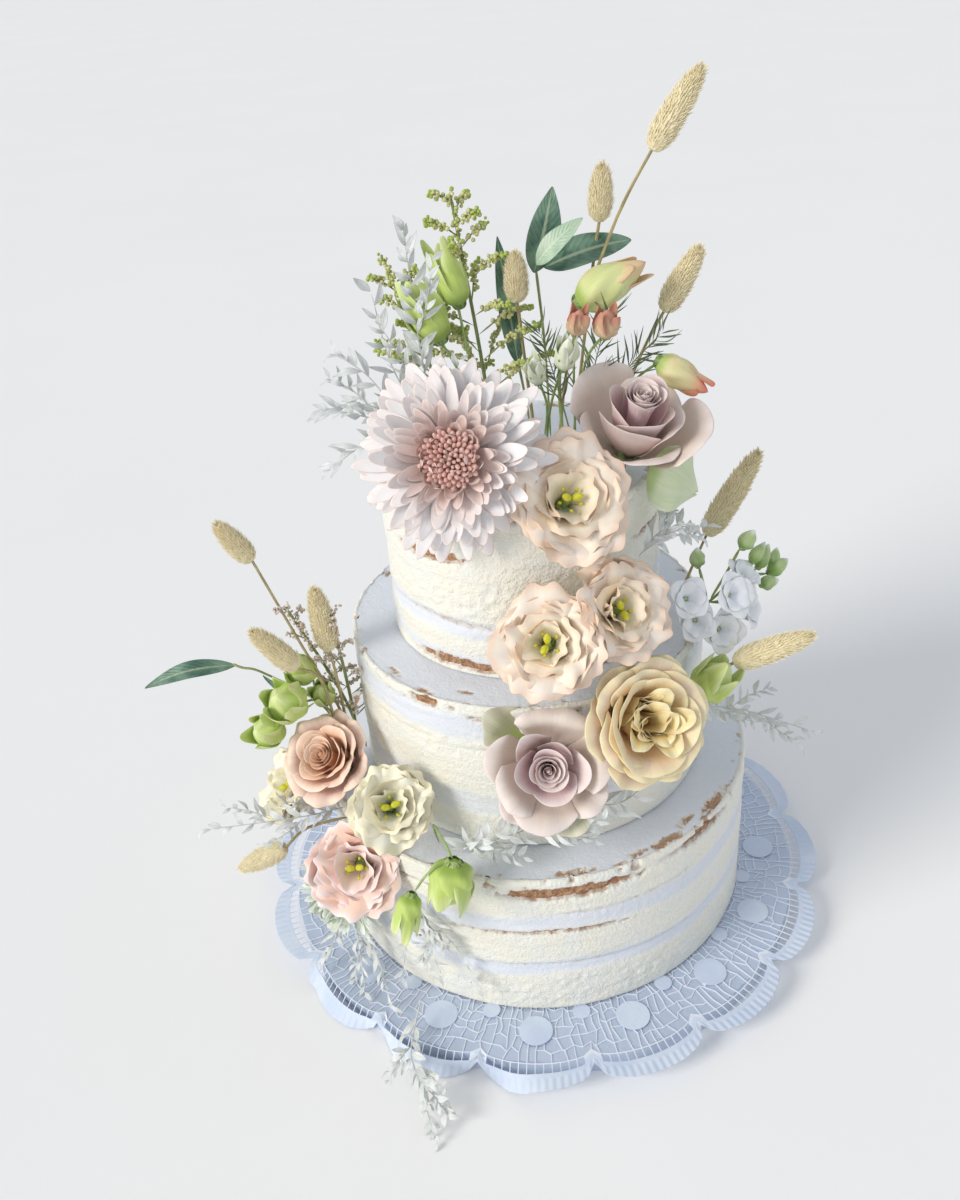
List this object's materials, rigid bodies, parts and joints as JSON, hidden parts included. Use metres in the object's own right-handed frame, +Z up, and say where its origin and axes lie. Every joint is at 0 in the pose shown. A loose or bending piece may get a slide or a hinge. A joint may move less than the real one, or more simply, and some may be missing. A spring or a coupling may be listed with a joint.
{
  "type": "tiered wedding cake",
  "caption": "Round tiered cake, thinly coated with buttercream, dressed with fresh and dried flowers, on a board with a paper doily.",
  "frame": {"origin": "middle of the round board's underside, on the tiers' common axis", "axes": "+Z up along the axis of the tiers, -Y towards the side that the flowers face, +X to the right of it"},
  "size_m": [0.389, 0.373, 0.477],
  "materials": {
    "board": "smooth pale board, slightly satin",
    "paper_lace": "matte embossed white paper, bluish in the shade",
    "sponge": "open crumb of browned sponge, matte",
    "buttercream": "ivory buttercream, satin, rough where it was scraped",
    "petal_mum": "slim soft petals, dusty pink in the middle",
    "petal_green_white": "pale green-white petals",
    "petal_mauve": "velvety dusty mauve, greige outer petals",
    "petal_cream": "butter cream petals, deeper between them",
    "petal_peach": "peach petals, paler outside",
    "petal_pink": "thin ruffled pink petals",
    "petal_ivory": "thin ruffled ivory petals",
    "petal_blush": "thin ruffled cream petals with coral edges",
    "petal_white": "white florets with green hearts and buds",
    "grass": "soft straw-coloured seed heads with fine hairs",
    "leaf": "waxy green leaves",
    "leaf_pale": "pale green petal, satin",
    "bud": "satin lime buds with pink tips",
    "spray": "grains of yellow-green buds",
    "dried": "dry greyish-brown grains",
    "bleached": "bleached papery leaves",
    "needles": "dark green needles"
  },
  "bodies": {
    "root": {"board": "board", "doily": "paper_lace", "sponge_bottom": "sponge", "coat_bottom": "buttercream", "sponge_middle": "sponge", "coat_middle": "buttercream", "sponge_top": "sponge", "coat_top": "buttercream", "rose_mauve_front": "petal_mauve", "rose_cream": "petal_cream", "mum_blush": "petal_mum", "lisianthus_top": "petal_blush", "lisianthus_middle": "petal_blush", "lisianthus_right": "petal_blush", "rose_mauve_top": "petal_mauve", "rose_peach": "petal_peach", "lisianthus_ivory": "petal_ivory", "lisianthus_pink": "petal_pink", "lisianthus_left": "petal_ivory", "mum_white": "petal_green_white", "stock_spike": "petal_white", "tail_top_right": "grass", "tail_top_upright": "grass", "tail_top_left": "grass", "tail_top_side": "grass", "tail_right_upper": "grass", "tail_right_lower": "grass", "tail_left_upper": "grass", "tail_left_upright": "grass", "tail_left_middle": "grass", "tail_left_lower": "grass", "leaf_top_upright": "leaf", "leaf_top_right": "leaf", "leaf_top_pale": "leaf", "leaf_top_dark": "leaf", "petal_top_green": "leaf_pale", "leaf_left_long": "leaf", "leaf_front_small": "leaf", "bud_top_large": "bud", "buds_top_pink": "bud", "bud_top_side": "bud", "buds_top_pale": "bud", "buds_top_lime": "bud", "bud_right_green": "bud", "buds_left_lime": "bud", "buds_hanging_lime": "bud", "spray_top": "spray", "spray_top_left": "spray", "spray_left_outer": "dried", "spray_left_inner": "dried", "ruscus_top_high": "bleached", "ruscus_top_left": "bleached", "needles_top": "needles", "ruscus_right_upper": "bleached", "ruscus_right_lower": "bleached", "ruscus_left": "bleached", "ruscus_ledge": "bleached", "sprig_hanging_front": "bleached", "sprig_hanging_left": "bleached", "sprig_trailing": "bleached"}
  },
  "joints": []
}
